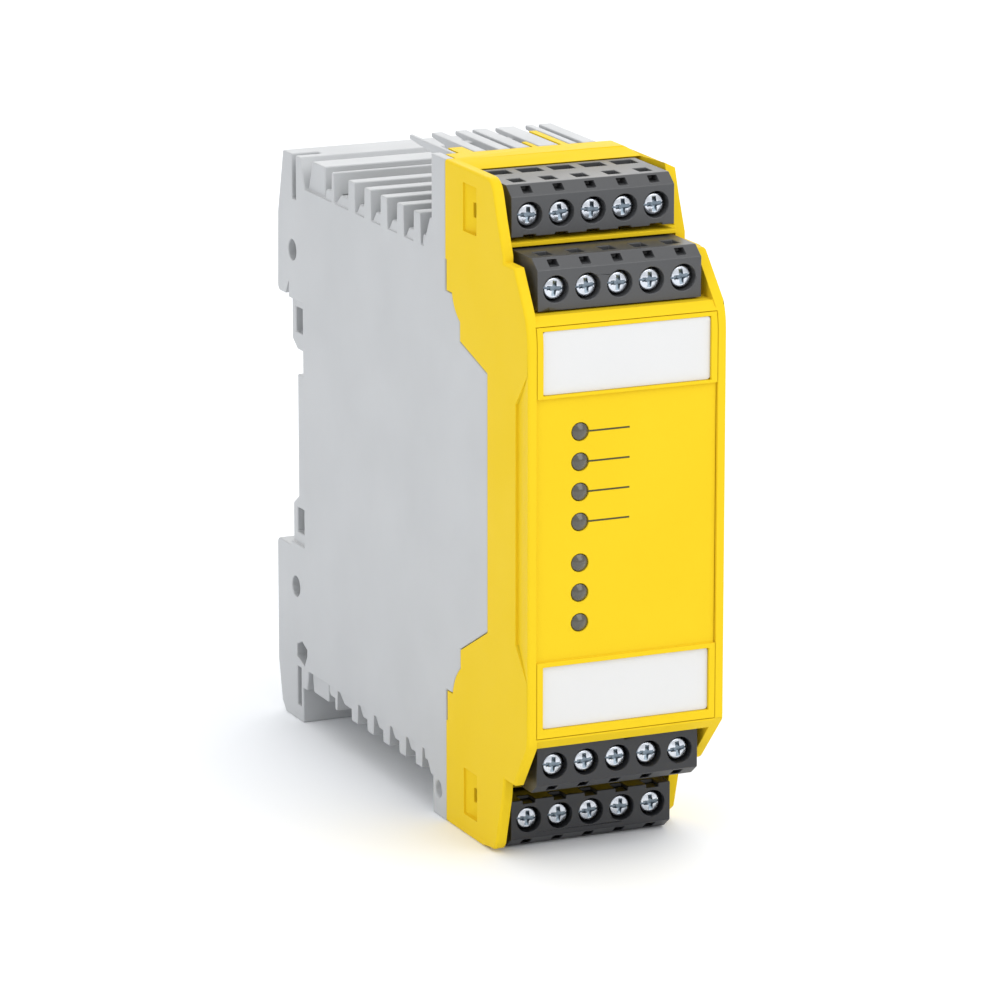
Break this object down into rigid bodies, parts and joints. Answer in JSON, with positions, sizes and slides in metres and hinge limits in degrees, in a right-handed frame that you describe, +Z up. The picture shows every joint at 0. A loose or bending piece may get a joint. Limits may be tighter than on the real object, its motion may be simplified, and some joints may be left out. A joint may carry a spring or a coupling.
{
  "type": "safety controller",
  "caption": "Slim rail-mounted safety controller: yellow front with status lights, ribbed grey rear housing, plug-in screw terminal rows above and below.",
  "frame": {"origin": "middle of the box around the housing, on the surface it stands on", "axes": "+X across the front to the right, +Y from the front to the rail at the back, +Z up"},
  "size_m": [0.0318, 0.0984, 0.102],
  "materials": {
    "housing_plastic": "fine moulded grain, light grey",
    "cover_plastic": "fine moulded grain, signal yellow",
    "label_plastic": "smooth white",
    "light_lens": "smoked lens, unlit",
    "plug_plastic_upper": "moulded, dark grey",
    "plug_plastic_lower": "moulded, darker grey",
    "screw_zinc": "bright zinc plate",
    "cage_brass": "nickel-plated brass",
    "pin_tin": "tinned brass",
    "header_plastic": "moulded black",
    "board_laminate": "green solder mask",
    "relay_case": "moulded, off-white",
    "capacitor_can": "satin",
    "latch_plastic": "moulded, mid grey",
    "spring_steel": "bare spring steel"
  },
  "bodies": {
    "housing": {"rear_housing": "housing_plastic", "front_cover": "cover_plastic", "label_plate_upper": "label_plastic", "label_plate_lower": "label_plastic", "light_board": "board_laminate", "terminal_board": "board_laminate", "main_board": "board_laminate", "relay_1": "relay_case", "relay_2": "relay_case", "capacitor": "capacitor_can", "latch_spring": "spring_steel", "status_light_1": "light_lens", "status_light_2": "light_lens", "status_light_3": "light_lens", "status_light_4": "light_lens", "status_light_5": "light_lens", "status_light_6": "light_lens", "status_light_7": "light_lens", "pin_header_upper_rear": "header_plastic", "header_pins_upper_rear": "pin_tin", "pin_header_upper_front": "header_plastic", "header_pins_upper_front": "pin_tin", "pin_header_lower_front": "header_plastic", "header_pins_lower_front": "pin_tin", "pin_header_lower_rear": "header_plastic", "header_pins_lower_rear": "pin_tin"},
    "rail_latch": {"rail_latch": "latch_plastic"},
    "plug_upper_rear": {"terminal_plug_upper_rear": "plug_plastic_upper", "clamp_cages_upper_rear": "cage_brass"},
    "screw_upper_rear_1": {"terminal_screw_upper_rear_1": "screw_zinc"},
    "screw_upper_rear_2": {"terminal_screw_upper_rear_2": "screw_zinc"},
    "screw_upper_rear_3": {"terminal_screw_upper_rear_3": "screw_zinc"},
    "screw_upper_rear_4": {"terminal_screw_upper_rear_4": "screw_zinc"},
    "screw_upper_rear_5": {"terminal_screw_upper_rear_5": "screw_zinc"},
    "plug_upper_front": {"terminal_plug_upper_front": "plug_plastic_upper", "clamp_cages_upper_front": "cage_brass"},
    "screw_upper_front_1": {"terminal_screw_upper_front_1": "screw_zinc"},
    "screw_upper_front_2": {"terminal_screw_upper_front_2": "screw_zinc"},
    "screw_upper_front_3": {"terminal_screw_upper_front_3": "screw_zinc"},
    "screw_upper_front_4": {"terminal_screw_upper_front_4": "screw_zinc"},
    "screw_upper_front_5": {"terminal_screw_upper_front_5": "screw_zinc"},
    "plug_lower_front": {"terminal_plug_lower_front": "plug_plastic_lower", "clamp_cages_lower_front": "cage_brass"},
    "screw_lower_front_1": {"terminal_screw_lower_front_1": "screw_zinc"},
    "screw_lower_front_2": {"terminal_screw_lower_front_2": "screw_zinc"},
    "screw_lower_front_3": {"terminal_screw_lower_front_3": "screw_zinc"},
    "screw_lower_front_4": {"terminal_screw_lower_front_4": "screw_zinc"},
    "screw_lower_front_5": {"terminal_screw_lower_front_5": "screw_zinc"},
    "plug_lower_rear": {"terminal_plug_lower_rear": "plug_plastic_lower", "clamp_cages_lower_rear": "cage_brass"},
    "screw_lower_rear_1": {"terminal_screw_lower_rear_1": "screw_zinc"},
    "screw_lower_rear_2": {"terminal_screw_lower_rear_2": "screw_zinc"},
    "screw_lower_rear_3": {"terminal_screw_lower_rear_3": "screw_zinc"},
    "screw_lower_rear_4": {"terminal_screw_lower_rear_4": "screw_zinc"},
    "screw_lower_rear_5": {"terminal_screw_lower_rear_5": "screw_zinc"}
  },
  "joints": [
    {"name": "rail_latch_slide", "type": "slide", "parent": "housing", "child": "rail_latch", "axis": [0, 0, 1], "range_m": [-0.0035, 0], "stiffness_N_per_m": 900, "springref_m": 0.002, "deforming": ["latch_spring"]},
    {"name": "plug_upper_rear_pull", "type": "slide", "parent": "housing", "child": "plug_upper_rear", "axis": [0, -1, 0], "range_m": [0, 0.012]},
    {"name": "screw_upper_rear_1_turn", "type": "hinge", "parent": "plug_upper_rear", "child": "screw_upper_rear_1", "pos_m": [-0.01016, -0.0369, 0.0963], "axis": [0, 1, 0], "continuous": true},
    {"name": "screw_upper_rear_2_turn", "type": "hinge", "parent": "plug_upper_rear", "child": "screw_upper_rear_2", "pos_m": [-0.00508, -0.0369, 0.0963], "axis": [0, 1, 0], "continuous": true},
    {"name": "screw_upper_rear_3_turn", "type": "hinge", "parent": "plug_upper_rear", "child": "screw_upper_rear_3", "pos_m": [0, -0.0369, 0.0963], "axis": [0, 1, 0], "continuous": true},
    {"name": "screw_upper_rear_4_turn", "type": "hinge", "parent": "plug_upper_rear", "child": "screw_upper_rear_4", "pos_m": [0.00508, -0.0369, 0.0963], "axis": [0, 1, 0], "continuous": true},
    {"name": "screw_upper_rear_5_turn", "type": "hinge", "parent": "plug_upper_rear", "child": "screw_upper_rear_5", "pos_m": [0.01016, -0.0369, 0.0963], "axis": [0, 1, 0], "continuous": true},
    {"name": "plug_upper_front_pull", "type": "slide", "parent": "housing", "child": "plug_upper_front", "axis": [0, -1, 0], "range_m": [0, 0.012]},
    {"name": "screw_upper_front_1_turn", "type": "hinge", "parent": "plug_upper_front", "child": "screw_upper_front_1", "pos_m": [-0.01016, -0.0462, 0.0872], "axis": [0, 1, 0], "continuous": true},
    {"name": "screw_upper_front_2_turn", "type": "hinge", "parent": "plug_upper_front", "child": "screw_upper_front_2", "pos_m": [-0.00508, -0.0462, 0.0872], "axis": [0, 1, 0], "continuous": true},
    {"name": "screw_upper_front_3_turn", "type": "hinge", "parent": "plug_upper_front", "child": "screw_upper_front_3", "pos_m": [0, -0.0462, 0.0872], "axis": [0, 1, 0], "continuous": true},
    {"name": "screw_upper_front_4_turn", "type": "hinge", "parent": "plug_upper_front", "child": "screw_upper_front_4", "pos_m": [0.00508, -0.0462, 0.0872], "axis": [0, 1, 0], "continuous": true},
    {"name": "screw_upper_front_5_turn", "type": "hinge", "parent": "plug_upper_front", "child": "screw_upper_front_5", "pos_m": [0.01016, -0.0462, 0.0872], "axis": [0, 1, 0], "continuous": true},
    {"name": "plug_lower_front_pull", "type": "slide", "parent": "housing", "child": "plug_lower_front", "axis": [0, -1, 0], "range_m": [0, 0.012]},
    {"name": "screw_lower_front_1_turn", "type": "hinge", "parent": "plug_lower_front", "child": "screw_lower_front_1", "pos_m": [-0.01016, -0.0462, 0.0155], "axis": [0, 1, 0], "continuous": true},
    {"name": "screw_lower_front_2_turn", "type": "hinge", "parent": "plug_lower_front", "child": "screw_lower_front_2", "pos_m": [-0.00508, -0.0462, 0.0155], "axis": [0, 1, 0], "continuous": true},
    {"name": "screw_lower_front_3_turn", "type": "hinge", "parent": "plug_lower_front", "child": "screw_lower_front_3", "pos_m": [0, -0.0462, 0.0155], "axis": [0, 1, 0], "continuous": true},
    {"name": "screw_lower_front_4_turn", "type": "hinge", "parent": "plug_lower_front", "child": "screw_lower_front_4", "pos_m": [0.00508, -0.0462, 0.0155], "axis": [0, 1, 0], "continuous": true},
    {"name": "screw_lower_front_5_turn", "type": "hinge", "parent": "plug_lower_front", "child": "screw_lower_front_5", "pos_m": [0.01016, -0.0462, 0.0155], "axis": [0, 1, 0], "continuous": true},
    {"name": "plug_lower_rear_pull", "type": "slide", "parent": "housing", "child": "plug_lower_rear", "axis": [0, -1, 0], "range_m": [0, 0.012]},
    {"name": "screw_lower_rear_1_turn", "type": "hinge", "parent": "plug_lower_rear", "child": "screw_lower_rear_1", "pos_m": [-0.01016, -0.0369, 0.0046], "axis": [0, 1, 0], "continuous": true},
    {"name": "screw_lower_rear_2_turn", "type": "hinge", "parent": "plug_lower_rear", "child": "screw_lower_rear_2", "pos_m": [-0.00508, -0.0369, 0.0046], "axis": [0, 1, 0], "continuous": true},
    {"name": "screw_lower_rear_3_turn", "type": "hinge", "parent": "plug_lower_rear", "child": "screw_lower_rear_3", "pos_m": [0, -0.0369, 0.0046], "axis": [0, 1, 0], "continuous": true},
    {"name": "screw_lower_rear_4_turn", "type": "hinge", "parent": "plug_lower_rear", "child": "screw_lower_rear_4", "pos_m": [0.00508, -0.0369, 0.0046], "axis": [0, 1, 0], "continuous": true},
    {"name": "screw_lower_rear_5_turn", "type": "hinge", "parent": "plug_lower_rear", "child": "screw_lower_rear_5", "pos_m": [0.01016, -0.0369, 0.0046], "axis": [0, 1, 0], "continuous": true}
  ]
}
